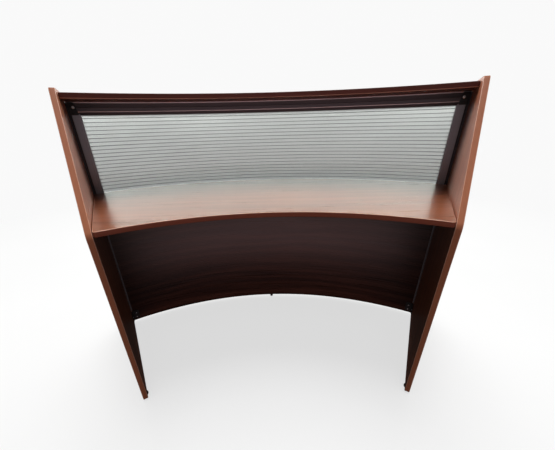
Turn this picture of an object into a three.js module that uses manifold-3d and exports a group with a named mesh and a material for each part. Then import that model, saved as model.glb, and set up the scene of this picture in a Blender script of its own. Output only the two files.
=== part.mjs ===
// Curved reception desk: a 60 degree segment with a concave staff side, two
// radial end panels, a worktop at sitting height, a framed translucent screen
// above it, a modesty panel below it and a cap on top.
// Millimetres, +Z up, +X to the right of the person seated at the desk,
// +Y towards the visitor. The origin is on the floor, under the middle of the
// bounding box.
import * as THREE from 'three';
import Module from 'manifold-3d';

const wasm = await Module();
wasm.setup();

// ---------------------------------------------------------------- dimensions
const HALF = 30;          // inner face of each end panel: a radius at this angle
const STEP = 2.5;         // facet step of the curved pieces, degrees
const BOARD = 18;         // board thickness
const BAND = 2;           // edge band thickness
const FIT = 0.3;          // assembly clearance

const R_WORKTOP = 1042;   // worktop, concave staff edge
const R_EDGE = 1054;      // end panel, staff edge
const R_CAP = 1410;       // cap, staff edge
const R_FACE = 1568;      // aluminium frame, staff face
const FRAME_D = 58;       // aluminium frame, depth
const R_MID = R_FACE + FRAME_D / 2;   // line that carries sheet and modesty panel
const R_BACK = 1645;      // end panels and cap, visitor edge

const Z_PANEL = 7;        // underside of the end panels
const Z_KINK = 734;       // end panel: edge is upright below, sloping above
const Z_TOP = 1138;       // end panel, top edge
const RUN_TOP = 326;      // end panel, how far the sloping edge runs back
const Z_WORKTOP = 750;    // worktop, top face
const Z_CAP = 1127.5;     // cap, top face
const CAP_T = BOARD;      // cap thickness
const Z_BEAM = 1062;      // top beam, lower face
const BEAM_H = 47.2;      // top beam, height
const Z_POST = 725.3;     // post, lower end: it passes the worktop and stands on the modesty panel
const POST_W = 41;        // post, width off the end panel
const RAISED_W = 30;      // raised face of the frame section next to the sheet
const RECESS_D = 9;       // depth of the frame section's recess
const LIP_W = 5.3;        // post, outer lip
const Z_MODESTY = 14;     // modesty panel, lower edge
const Z_RAIL = 700;       // joining rail, lower edge
const SHEET_T = 10;       // twin-wall sheet
const SHEET_TOP = 1068;

const GLIDE_S = [1088, 1610];         // glides under an end panel, along the radius
const GLIDE_TRAVEL = 12;              // how far a glide screws out
const BRACKET_S = [1165, 1480];       // near end of the worktop brackets
const BRACKET_L = 60;

const C30 = Math.cos(HALF * Math.PI / 180);
const S30 = Math.sin(HALF * Math.PI / 180);
const WORKTOP_W = 1.5;     // seam between worktop and end panel
const Y0 = (R_WORKTOP * C30 + WORKTOP_W * S30 + R_BACK) / 2;   // arc centre lies at y = -Y0

// ---------------------------------------------------------------- materials
const mat = (color, roughness, metalness, extra = {}) =>
  new THREE.MeshStandardMaterial({ color, roughness, metalness, ...extra });
const WOOD = () => mat(0x8a4c33, 0.38, 0);
const WOOD_BAND = () => mat(0x7d432d, 0.42, 0);
const WOOD_DARK = () => mat(0x3a211b, 0.5, 0);
const ALU = () => mat(0x453f42, 0.42, 0.85);
const SHEET = () => mat(0xc9d0cb, 0.35, 0, { transparent: true, opacity: 0.75 });
const BLACK = () => mat(0x1b1a1b, 0.5, 0.3);
const STEEL = () => mat(0xb4b6b8, 0.3, 1);
const ZINC = () => mat(0x8f9294, 0.4, 1);
const NYLON = () => mat(0x161616, 0.6, 0);

// ---------------------------------------------------------------- solids
const RAD = Math.PI / 180;

function solid(points, faces) {
  let vol = 0;
  for (const [a, b, c] of faces) {
    const [p, q, r] = [points[a], points[b], points[c]];
    vol += p[0] * (q[1] * r[2] - q[2] * r[1]) - p[1] * (q[0] * r[2] - q[2] * r[0]) + p[2] * (q[0] * r[1] - q[1] * r[0]);
  }
  const g = new THREE.BufferGeometry();
  g.setAttribute('position', new THREE.Float32BufferAttribute(points.flat(), 3));
  g.setIndex((vol < 0 ? faces.map(([a, b, c]) => [a, c, b]) : faces).flat());
  return g;
}

// radius of the faceted circle at angle th (degrees)
function rho(R, th) {
  const k = Math.floor(th / STEP + 1e-9);
  return R * Math.cos(STEP / 2 * RAD) / Math.cos((th - (k + 0.5) * STEP) * RAD);
}
// angle at which the faceted circle meets the plane at distance w inside an end panel
function endAngle(R, w) {
  let th = HALF - Math.asin(w / R) / RAD;
  for (let i = 0; i < 20; i++) th = HALF - Math.asin(w / rho(R, th)) / RAD;
  return th;
}
const polar = (R, th, z) => [rho(R, th) * Math.sin(th * RAD), rho(R, th) * Math.cos(th * RAD) - Y0, z];
const GRID = [];
for (let t = -27.5; t <= 27.5 + 1e-9; t += STEP) GRID.push(t);

// curved piece: section [[R, z], ...] carried round the arc between the end panels,
// both ends cut parallel to the panels at distance w
function sweep(section, w) {
  const m = section.length;
  const pts = [];
  const n = GRID.length + 2;
  for (let j = 0; j < n; j++) {
    for (const [R, z] of section) {
      const e = endAngle(R, w);
      const th = j === 0 ? -e : j === n - 1 ? e : GRID[j - 1];
      if (j === 0) { const p = polar(R, e, z); pts.push([-p[0], p[1], p[2]]); } else pts.push(polar(R, th, z));
    }
  }
  const faces = [];
  for (let j = 0; j + 1 < n; j++) {
    for (let i = 0; i < m; i++) {
      const a = j * m + i, b = j * m + (i + 1) % m;
      faces.push([a, b, b + m], [a, b + m, a + m]);
    }
  }
  const tri = THREE.ShapeUtils.triangulateShape(section.map(([r, z]) => new THREE.Vector2(r, z)), []);
  const last = (n - 1) * m;
  // the caps are wound against the side faces
  const area = THREE.ShapeUtils.area(section.map(([r, z]) => new THREE.Vector2(r, z)));
  for (const t of tri) {
    const [a, b, c] = orient(t, section, area);
    faces.push([a, c, b], [a + last, b + last, c + last]);
  }
  return solid(pts, faces);
}
function orient([a, b, c], poly, area) {
  const s = (poly[b][0] - poly[a][0]) * (poly[c][1] - poly[a][1]) - (poly[b][1] - poly[a][1]) * (poly[c][0] - poly[a][0]);
  return s * area > 0 ? [a, b, c] : [a, c, b];
}

// straight piece: polygon carried from t0 to t1 through map(u, v, t)
function prism(poly, map, t0, t1) {
  const m = poly.length;
  const pts = [...poly.map(([u, v]) => map(u, v, t0)), ...poly.map(([u, v]) => map(u, v, t1))];
  const area = THREE.ShapeUtils.area(poly.map(([u, v]) => new THREE.Vector2(u, v)));
  const faces = [];
  for (let i = 0; i < m; i++) {
    const b = (i + 1) % m;
    faces.push([i, b, b + m], [i, b + m, i + m]);
  }
  for (const t of THREE.ShapeUtils.triangulateShape(poly.map(([u, v]) => new THREE.Vector2(u, v)), [])) {
    const [a, b, c] = orient(t, poly, area);
    faces.push([a, c, b], [a + m, b + m, c + m]);
  }
  return solid(pts, faces);
}

// round piece about the line o + t * axis; profile [[r, t], ...] starts and ends on the axis
function turned(profile, n, o, axis) {
  const a = new THREE.Vector3(...axis).normalize();
  const u = new THREE.Vector3(Math.abs(a.z) > 0.9 ? 1 : 0, 0, Math.abs(a.z) > 0.9 ? 0 : 1).cross(a).normalize();
  const v = new THREE.Vector3().crossVectors(a, u);
  const pts = [], rows = [];
  const at = (r, t, k) => {
    const c = Math.cos(2 * Math.PI * k / n) * r, s = Math.sin(2 * Math.PI * k / n) * r;
    return [o[0] + a.x * t + u.x * c + v.x * s, o[1] + a.y * t + u.y * c + v.y * s, o[2] + a.z * t + u.z * c + v.z * s];
  };
  for (const [r, t] of profile) {
    if (r === 0) { rows.push([pts.length]); pts.push(at(0, t, 0)); } else {
      rows.push(Array.from({ length: n }, (_, k) => pts.length + k));
      for (let k = 0; k < n; k++) pts.push(at(r, t, k));
    }
  }
  const faces = [];
  for (let i = 0; i + 1 < rows.length; i++) {
    const A = rows[i], B = rows[i + 1];
    for (let k = 0; k < n; k++) {
      const l = (k + 1) % n;
      if (A.length === 1) faces.push([A[0], B[k], B[l]]);
      else if (B.length === 1) faces.push([A[k], B[0], A[l]]);
      else faces.push([A[k], B[k], B[l]], [A[k], B[l], A[l]]);
    }
  }
  return solid(pts, faces);
}

const toBody = g => new wasm.Manifold(new wasm.Mesh({
  numProp: 3,
  vertProperties: new Float32Array(g.getAttribute('position').array),
  triVerts: new Uint32Array(g.getIndex().array),
}));
function toGeometry(body) {
  const mesh = body.getMesh();
  const g = new THREE.BufferGeometry();
  g.setAttribute('position', new THREE.Float32BufferAttribute(new Float32Array(mesh.vertProperties), 3));
  g.setIndex(Array.from(mesh.triVerts));
  return g;
}
const cut = (g, ...tools) => toGeometry(tools.reduce((b, t) => b.subtract(toBody(t)), toBody(g)));

// ---------------------------------------------------------------- placing
// (s, w, z): s out along the end panel's radius, w in from its inner face
const local = side => (s, w, z) => [side * (s * S30 - w * C30), s * C30 + w * S30 - Y0, z];
const radial = side => [side * S30, C30, 0];       // +s
const inward = side => [-side * C30, S30, 0];      // +w
const UP = [0, 0, 1];

const desk = new THREE.Group();
desk.name = 'reception_desk';
function add(name, geometry, material) {
  geometry.computeVertexNormals();
  const mesh = new THREE.Mesh(geometry, material);
  mesh.name = name;
  desk.add(mesh);
}

// polygon with each edge moved in by its own distance (clockwise polygons)
function inset(poly, dist) {
  const n = poly.length;
  const lines = poly.map((p, i) => {
    const q = poly[(i + 1) % n], l = Math.hypot(q[0] - p[0], q[1] - p[1]);
    const d = [(q[0] - p[0]) / l, (q[1] - p[1]) / l];
    return { p: [p[0] + d[1] * dist[i], p[1] - d[0] * dist[i]], d };
  });
  return poly.map((_, i) => {
    const A = lines[(i + n - 1) % n], B = lines[i];
    const det = A.d[0] * B.d[1] - A.d[1] * B.d[0];
    const t = ((B.p[0] - A.p[0]) * B.d[1] - (B.p[1] - A.p[1]) * B.d[0]) / det;
    return [A.p[0] + A.d[0] * t, A.p[1] + A.d[1] * t];
  });
}
function rounded(poly, radii, seg = 5) {
  const n = poly.length, out = [];
  poly.forEach((p, i) => {
    const r = radii[i];
    if (r <= 0) { out.push(p); return; }
    const a = poly[(i + n - 1) % n], b = poly[(i + 1) % n];
    const u = new THREE.Vector2(a[0] - p[0], a[1] - p[1]).normalize();
    const v = new THREE.Vector2(b[0] - p[0], b[1] - p[1]).normalize();
    const half = Math.acos(u.dot(v)) / 2;
    const t = r / Math.tan(half);
    const c = u.clone().add(v).normalize().multiplyScalar(r / Math.sin(half));
    const c0 = [p[0] + c.x, p[1] + c.y];
    const a0 = Math.atan2(p[1] + u.y * t - c0[1], p[0] + u.x * t - c0[0]);
    let a1 = Math.atan2(p[1] + v.y * t - c0[1], p[0] + v.x * t - c0[0]);
    while (a1 - a0 > Math.PI) a1 -= 2 * Math.PI;
    while (a1 - a0 < -Math.PI) a1 += 2 * Math.PI;
    for (let k = 0; k <= seg; k++) {
      const ang = a0 + (a1 - a0) * k / seg;
      out.push([c0[0] + r * Math.cos(ang), c0[1] + r * Math.sin(ang)]);
    }
  });
  return out;
}
const box = (u0, u1, v0, v1) => [[u0, v0], [u1, v0], [u1, v1], [u0, v1]];
const bandSection = (rOut, rIn, z0, z1) => {      // rOut is the exposed side
  const k = Math.sign(rIn - rOut), c = 1.1;
  return [[rIn, z0], [rIn, z1], [rOut + k * c, z1], [rOut + k * 0.3, z1 - 0.3], [rOut, z1 - c], [rOut, z0 + c], [rOut + k * 0.3, z0 + 0.3], [rOut + k * c, z0]];
};
// pan-head screw: head on the near side of t = 0, shank running to t = len
const screw = (headR, headH, shankR, len, o, axis, n = 12) =>
  turned([[0, -headH], [headR * 0.62, -headH], [headR * 0.93, -headH * 0.62], [headR, -headH * 0.2], [headR, 0], [shankR, 0], [shankR, len - 2], [0, len]], n, o, axis);
const drill = (r, t0, t1, o, axis, n = 12) => turned([[0, t0], [r, t0], [r, t1], [0, t1]], n, o, axis);

const sides = [['left', -1], ['right', 1]];

// ---------------------------------------------------------------- end panels
const outline = [[R_EDGE, Z_PANEL], [R_EDGE, Z_KINK], [R_EDGE + RUN_TOP, Z_TOP], [R_BACK, Z_TOP], [R_BACK, Z_PANEL]];
const corner = [0, 40, 20, 8, 0];
const core = inset(outline, [BAND + 0.2, BAND + 0.2, BAND + 0.2, BAND + 0.2, 0]);
const coreOutline = rounded(core, corner.map(r => Math.max(0, r - BAND - 0.2)));
const bandOuter = rounded(outline, corner);
const bandInner = rounded(inset(outline, [BAND, BAND, BAND, BAND, 0]), corner.map(r => Math.max(0, r - BAND)));

const SCREW_R = 2, HOLE_R = 2.4;
const bracketMid = BRACKET_S.map(s => s + BRACKET_L / 2);
const Z_UNDER = Z_WORKTOP - BOARD;
const CLEAT = { s: R_MID - BOARD / 2 - 1.2, w: 36, z0: 27, z1: 80 };      // angle between end panel and modesty panel
const CLEAT_HOLE = { upper: [22, 62], lower: [22, 37] };                  // (w, z) of its screws into the modesty panel
const CLEAT_SIDE = [CLEAT.s - 17, 49];                                    // (s, z) of its screw into the end panel

for (const [name, side] of sides) {
  const at = local(side), out = inward(side).map(v => -v);
  const tools = [
    ...GLIDE_S.map(s => drill(5.3, -2, 24, at(s, -BOARD / 2, Z_PANEL), UP, 16)),
    ...bracketMid.map(s => drill(HOLE_R, -2, 13, at(s, 0, Z_UNDER - 22), out)),
    drill(HOLE_R, -2, 13, at(CLEAT_SIDE[0], 0, CLEAT_SIDE[1]), out),
  ];
  add(`end_panel_${name}`, cut(prism(coreOutline, (s, z, w) => at(s, w, z), -BOARD, 0), ...tools), WOOD());
  add(`end_panel_band_${name}`, prism([...bandOuter, ...bandInner.slice().reverse()], (s, z, w) => at(s, w, z), -BOARD, 0), WOOD_BAND());
}

// ---------------------------------------------------------------- worktop
const R_REAR = R_MID - 12.3 - FIT;
const NOTCH_S = R_FACE - FIT, NOTCH_W = POST_W + FIT;      // cut-out of the worktop for a post
{
  const R = R_WORKTOP + BAND + 0.2;
  const e = endAngle(R, WORKTOP_W), b = endAngle(R_REAR, NOTCH_W);
  const right = [
    polar(R, e, 0), local(1)(NOTCH_S, WORKTOP_W, 0), local(1)(NOTCH_S, NOTCH_W, 0), polar(R_REAR, b, 0),
  ].map(p => [p[0], p[1]]);
  const plan = [
    ...GRID.map(t => polar(R, t, 0)).map(p => [p[0], p[1]]),
    ...right,
    ...GRID.slice().reverse().map(t => polar(R_REAR, t, 0)).map(p => [p[0], p[1]]),
    ...right.slice().reverse().map(([x, y]) => [-x, y]),
  ];
  const holes = sides.flatMap(([, side]) => bracketMid.map(s => drill(HOLE_R, -2, 13.5, local(side)(s, 24, Z_UNDER), UP)));
  add('worktop', cut(prism(plan, (x, y, z) => [x, y, z], Z_UNDER, Z_WORKTOP), ...holes), WOOD());
  add('worktop_band', sweep(bandSection(R_WORKTOP, R_WORKTOP + BAND, Z_UNDER, Z_WORKTOP), WORKTOP_W), WOOD_BAND());
}

// worktop brackets, pressed steel angle
for (const [name, side] of sides) {
  const at = local(side), out = inward(side).map(v => -v);
  ['front', 'rear'].forEach((where, i) => {
    const s0 = BRACKET_S[i], mid = bracketMid[i];
    const angle = [[FIT, Z_UNDER - 40], [FIT + 2.5, Z_UNDER - 40], [FIT + 2.5, Z_UNDER - FIT - 2.5], [40, Z_UNDER - FIT - 2.5], [40, Z_UNDER - FIT], [FIT, Z_UNDER - FIT]];
    add(`worktop_bracket_${where}_${name}`, cut(prism(angle, (w, z, s) => at(s, w, z), s0, s0 + BRACKET_L),
      drill(HOLE_R, -6, 6, at(mid, 0, Z_UNDER - 22), out), drill(HOLE_R, -6, 6, at(mid, 24, Z_UNDER), UP)), BLACK());
    add(`worktop_screw_${where}_${name}`, screw(4.5, 2.8, SCREW_R, 15, at(mid, 24, Z_UNDER - FIT - 2.5 - 0.2), UP, 10), STEEL());
    add(`panel_screw_${where}_${name}`, screw(4.5, 2.8, SCREW_R, 14.5, at(mid, FIT + 2.5 + 0.2, Z_UNDER - 22), out, 10), STEEL());
  });
}

// ---------------------------------------------------------------- aluminium frame
const Z_BEAM_TOP = Z_BEAM + BEAM_H;
const R_OUT = R_FACE + FRAME_D;
const SLOT = SHEET_T / 2 + FIT;
const SAG = 1.2;          // room in the straight post groove for the curve of the sheet
const RAISED_W0 = POST_W - RAISED_W;
const postSection = [
  [R_FACE + 2, FIT], [R_FACE + 2, LIP_W], [R_FACE + RECESS_D, LIP_W], [R_FACE + RECESS_D, RAISED_W0], [R_FACE, RAISED_W0], [R_FACE, POST_W],
  [R_MID - SLOT - SAG, POST_W], [R_MID - SLOT - SAG, POST_W - 14.5], [R_MID + SLOT, POST_W - 14.5], [R_MID + SLOT, POST_W],
  [R_OUT, POST_W], [R_OUT, RAISED_W0], [R_OUT - RECESS_D, RAISED_W0], [R_OUT - RECESS_D, LIP_W], [R_OUT - 2, LIP_W], [R_OUT - 2, FIT],
];
const Z_RAISED = Z_BEAM + 27, Z_LIP = Z_BEAM_TOP - 3.7;
const beamSection = [
  [R_FACE, Z_BEAM], [R_MID - SLOT, Z_BEAM], [R_MID - SLOT, Z_BEAM + 13], [R_MID + SLOT, Z_BEAM + 13], [R_MID + SLOT, Z_BEAM], [R_OUT, Z_BEAM],
  [R_OUT, Z_RAISED], [R_OUT - RECESS_D, Z_RAISED], [R_OUT - RECESS_D, Z_LIP], [R_OUT - 1.5, Z_LIP], [R_OUT - 1.5, Z_BEAM_TOP],
  [R_FACE + 1.5, Z_BEAM_TOP], [R_FACE + 1.5, Z_LIP], [R_FACE + RECESS_D, Z_LIP], [R_FACE + RECESS_D, Z_RAISED], [R_FACE, Z_RAISED],
  [R_FACE, Z_BEAM + 13.2], [R_FACE + 1.5, Z_BEAM + 12.4], [R_FACE + 1.5, Z_BEAM + 10.6], [R_FACE, Z_BEAM + 9.8],
];
// mitre: the plane from the frame's outer top corner to its inner corner
const mitre = (keep, side) => {
  const l = Math.hypot(BEAM_H, POST_W), n = [BEAM_H / l, POST_W / l], d = [POST_W / l, -BEAM_H / l];
  const off = keep * 0.15, far = -keep * 260;
  const on = (t, o) => [d[0] * t + n[0] * o, Z_BEAM_TOP + d[1] * t + n[1] * o];
  return prism([on(-60, off), on(130, off), on(130, far), on(-60, far)], (w, z, s) => local(side)(s, w, z), R_FACE - 20, R_OUT + 20);
};
const CORNER = { upper: [23, Z_BEAM + 28.5], lower: [21, Z_BEAM + 8] };   // (w, z) of the corner plate's screws
const PLATE_S = R_FACE - 1.1;          // back of the corner plate
const capScrews = [-20, 0, 20];

const beamTools = [];
for (const [, side] of sides) {
  beamTools.push(mitre(1, side), drill(HOLE_R, -8, 22, local(side)(R_FACE, ...CORNER.upper), radial(side)));
}
for (const th of capScrews) beamTools.push(drill(2.6, -1, BEAM_H + 2, polar(R_MID, th, Z_BEAM + 13), UP));
add('top_beam', cut(sweep(beamSection, FIT), ...beamTools), ALU());

for (const [name, side] of sides) {
  const at = local(side);
  add(`post_${name}`, cut(prism(postSection, (s, w, z) => at(s, w, z), Z_POST, Z_BEAM_TOP), mitre(-1, side),
    drill(HOLE_R, -8, 20, at(R_FACE, ...CORNER.lower), radial(side))), ALU());

  // corner plate over the mitre, and its two screws
  const plate = rounded([[5, Z_BEAM + 1], [5, Z_BEAM + 45], [28, Z_BEAM + 45], [37, Z_BEAM + 1]], [4, 4, 4, 4], 3);
  add(`corner_plate_${name}`, cut(prism(plate, (w, z, s) => at(s, w, z), PLATE_S - 3, PLATE_S),
    ...Object.values(CORNER).map(c => drill(HOLE_R, -12, 6, at(R_FACE, ...c), radial(side)))), BLACK());
  add(`corner_screw_upper_${name}`, screw(5.6, 3, SCREW_R, 20, at(PLATE_S - 3.2, ...CORNER.upper), radial(side), 16), STEEL());
  add(`corner_screw_lower_${name}`, screw(3.6, 2, SCREW_R, 18, at(PLATE_S - 3.2, ...CORNER.lower), radial(side)), BLACK());

  // angle cleat between end panel and modesty panel, and its screws
  const out = inward(side).map(v => -v), S1 = CLEAT.s;
  const cleat = [[S1 - 33, FIT], [S1, FIT], [S1, CLEAT.w], [S1 - 2.5, CLEAT.w], [S1 - 2.5, FIT + 2.5], [S1 - 33, FIT + 2.5]];
  add(`modesty_cleat_${name}`, cut(prism(cleat, (s, w, z) => at(s, w, z), CLEAT.z0, CLEAT.z1),
    drill(HOLE_R, -6, 6, at(CLEAT_SIDE[0], 0, CLEAT_SIDE[1]), out),
    ...Object.values(CLEAT_HOLE).map(c => drill(HOLE_R, -8, 8, at(S1, ...c), radial(side)))), BLACK());
  add(`cleat_screw_${name}`, screw(4, 2.4, SCREW_R, 14.5, at(CLEAT_SIDE[0], FIT + 2.5 + 0.2, CLEAT_SIDE[1]), out), STEEL());
  for (const [where, c] of Object.entries(CLEAT_HOLE)) {
    add(`modesty_screw_${where}_${name}`, screw(4, 2.4, SCREW_R, 15, at(S1 - 2.7, ...c), radial(side)), STEEL());
  }
}

// rail that joins the sheet's lower edge to the modesty panel's upper edge
const RAIL_TOP = Z_WORKTOP - 2, WEB = 725;
const FLANGE = BOARD / 2 + FIT;
add('joining_rail', sweep([
  [R_MID - FLANGE - 3, Z_RAIL], [R_MID - FLANGE, Z_RAIL], [R_MID - FLANGE, WEB], [R_MID + FLANGE, WEB], [R_MID + FLANGE, Z_RAIL], [R_MID + FLANGE + 3, Z_RAIL],
  [R_MID + FLANGE + 3, RAIL_TOP], [R_MID + SLOT, RAIL_TOP], [R_MID + SLOT, WEB + 4], [R_MID - SLOT, WEB + 4], [R_MID - SLOT, RAIL_TOP], [R_MID - FLANGE - 3, RAIL_TOP],
], POST_W + FIT), ALU());

// channel that holds each upright edge of the modesty panel against the end panel
const CHANNEL_W = 7, CHANNEL_T = 1.5;
for (const [name, side] of sides) {
  const s0 = R_MID - FLANGE, s1 = R_MID + FLANGE, w1 = FIT + CHANNEL_T;
  const channel = [
    [s0 - CHANNEL_T, FIT], [s0 - CHANNEL_T, CHANNEL_W], [s0, CHANNEL_W], [s0, w1], [s1, w1], [s1, CHANNEL_W], [s1 + CHANNEL_T, CHANNEL_W], [s1 + CHANNEL_T, FIT],
  ];
  add(`modesty_channel_${name}`, prism(channel, (s, w, z) => local(side)(s, w, z), CLEAT.z1 + 5, Z_RAIL - FIT), ALU());
}

// ---------------------------------------------------------------- sheet and modesty panel
add('screen_sheet', sweep(box(R_MID - SHEET_T / 2, R_MID + SHEET_T / 2, WEB + 4 + FIT, SHEET_TOP), POST_W - 14), SHEET());

const centre = polar(R_MID, 0, Z_MODESTY);
const modestyTools = [drill(5.3, -2, 24, centre, UP, 16)];
for (const [, side] of sides) for (const c of Object.values(CLEAT_HOLE)) modestyTools.push(drill(HOLE_R, -8, 15, local(side)(CLEAT.s, ...c), radial(side)));
add('modesty_panel', cut(sweep(box(R_MID - BOARD / 2, R_MID + BOARD / 2, Z_MODESTY, WEB - FIT), 2.4), ...modestyTools), WOOD_DARK());

// ---------------------------------------------------------------- cap
const Z_CAP0 = Z_CAP - CAP_T, CAP_W = 1.5;
add('cap_board', cut(sweep(box(R_CAP + BAND + 0.2, R_BACK - BAND - 0.2, Z_CAP0, Z_CAP), CAP_W),
  ...capScrews.map(th => drill(2.6, -2, 13.5, polar(R_MID, th, Z_CAP0), UP))), WOOD());
add('cap_band_staff', sweep(bandSection(R_CAP, R_CAP + BAND, Z_CAP0, Z_CAP), CAP_W), WOOD_BAND());
add('cap_band_visitor', sweep(bandSection(R_BACK, R_BACK - BAND, Z_CAP0, Z_CAP), CAP_W), WOOD_BAND());
capScrews.forEach((th, i) => {
  add(`cap_screw_${['left', 'centre', 'right'][i]}`, screw(4.5, 3, 2.2, 46, polar(R_MID, th, Z_BEAM + 13 - 0.3), UP), STEEL());
});

// ---------------------------------------------------------------- levelling glides
const sleeve = (o, h) => {
  const tube = drill(5, 0.3, h, o, UP, 16);
  return cut(tube, drill(3.3, -5, h + 5, o, UP, 16));
};
const glide = (r, h, o, top) => turned([[0, 0], [r - 1, 0], [r, 1], [r, h - 2], [r - 2, h - 0.5], [3, h - 0.2], [3, top], [0, top]], 20, o, UP);
for (const [name, side] of sides) {
  ['front', 'rear'].forEach((where, i) => {
    const p = local(side)(GLIDE_S[i], -BOARD / 2, 0);
    add(`glide_sleeve_${where}_${name}`, sleeve([p[0], p[1], Z_PANEL], 22), ZINC());
    add(`glide_${where}_${name}`, glide(13, Z_PANEL - 0.3, p, Z_PANEL + 18), NYLON());
  });
}
add('glide_sleeve_centre', sleeve(centre, 22), ZINC());
add('glide_centre', glide(8, Z_MODESTY - 0.3, [centre[0], centre[1], 0], Z_MODESTY + 18), NYLON());

export default desk;
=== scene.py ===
import math

import bmesh
import bpy
from mathutils import Matrix, Vector


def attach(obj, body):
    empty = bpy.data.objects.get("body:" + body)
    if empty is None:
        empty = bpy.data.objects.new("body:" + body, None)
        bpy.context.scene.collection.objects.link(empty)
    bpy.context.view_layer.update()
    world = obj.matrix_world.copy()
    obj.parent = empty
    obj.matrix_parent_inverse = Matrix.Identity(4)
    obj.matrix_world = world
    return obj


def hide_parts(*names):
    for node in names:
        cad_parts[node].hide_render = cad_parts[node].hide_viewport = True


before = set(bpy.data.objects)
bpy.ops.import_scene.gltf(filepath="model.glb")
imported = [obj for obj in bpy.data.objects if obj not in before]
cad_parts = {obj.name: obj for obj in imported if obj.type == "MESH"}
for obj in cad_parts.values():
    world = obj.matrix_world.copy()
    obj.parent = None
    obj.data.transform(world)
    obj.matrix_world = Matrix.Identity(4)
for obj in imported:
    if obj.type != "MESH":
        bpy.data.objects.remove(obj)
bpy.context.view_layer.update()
scene = bpy.context.scene

# ---------------------------------------------------------------- the desk's own measures (mm)
HALF = math.radians(30)
S30, C30 = math.sin(HALF), math.cos(HALF)
BOARD, BAND = 18.0, 2.0
R_WORKTOP, R_EDGE, R_CAP, R_FACE, R_BACK = 1042.0, 1054.0, 1410.0, 1568.0, 1645.0
FRAME_D = 58.0
R_MID, R_OUT = R_FACE + FRAME_D / 2, R_FACE + FRAME_D
Z_PANEL, Z_KINK, Z_TOP, RUN_TOP = 7.0, 734.0, 1138.0, 326.0
Z_WORKTOP, Z_CAP, CAP_T = 750.0, 1127.5, 18.0
Z_BEAM, BEAM_H, Z_POST, POST_W = 1062.0, 47.2, 725.3, 41.0
Z_BEAM_TOP = Z_BEAM + BEAM_H
WORKTOP_W = 1.5
Y0 = (R_WORKTOP * C30 + WORKTOP_W * S30 + R_BACK) / 2
N_ARC = 128


def P(side, s, w, z):
    """s out along an end panel's radius, w in from its inner face, in mm; the point in metres."""
    return Vector((side * (s * S30 - w * C30), s * C30 + w * S30 - Y0, z)) / 1000


def A(R, th, z):
    return Vector((R * math.sin(th), R * math.cos(th) - Y0, z)) / 1000


def along(side):
    return Vector((side * S30, C30, 0))


def inward(side):
    return Vector((-side * C30, S30, 0))


UP = Vector((0, 0, 1))

# ---------------------------------------------------------------- camera
W_PX, H_PX = 555, 450
F_PX, PP = 256.955, (266.773, 244.916)
CAM = Vector((-0.0236, 0.2243 - Y0 / 1000, 1.0205))
YAW, PITCH, ROLL = (math.radians(v) for v in (0.0487, 25.5451, -1.56))
fwd = Vector((math.sin(YAW) * math.cos(PITCH), math.cos(YAW) * math.cos(PITCH), -math.sin(PITCH)))
right = Vector((math.cos(YAW), -math.sin(YAW), 0))
up = right.cross(fwd)
r2 = math.cos(ROLL) * right + math.sin(ROLL) * up
u2 = -math.sin(ROLL) * right + math.cos(ROLL) * up
cam_data = bpy.data.cameras.new("camera")
cam_data.sensor_fit = "HORIZONTAL"
cam_data.sensor_width = 36
cam_data.lens = 36 * F_PX / W_PX
cam_data.shift_x = (W_PX / 2 - PP[0]) / W_PX
cam_data.shift_y = (PP[1] - H_PX / 2) / W_PX
cam_data.clip_start = 0.01
cam = bpy.data.objects.new("camera", cam_data)
scene.collection.objects.link(cam)
b = -fwd
cam.matrix_world = Matrix(((r2.x, u2.x, b.x, CAM.x), (r2.y, u2.y, b.y, CAM.y), (r2.z, u2.z, b.z, CAM.z), (0, 0, 0, 1)))
scene.camera = cam

# ---------------------------------------------------------------- materials


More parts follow.
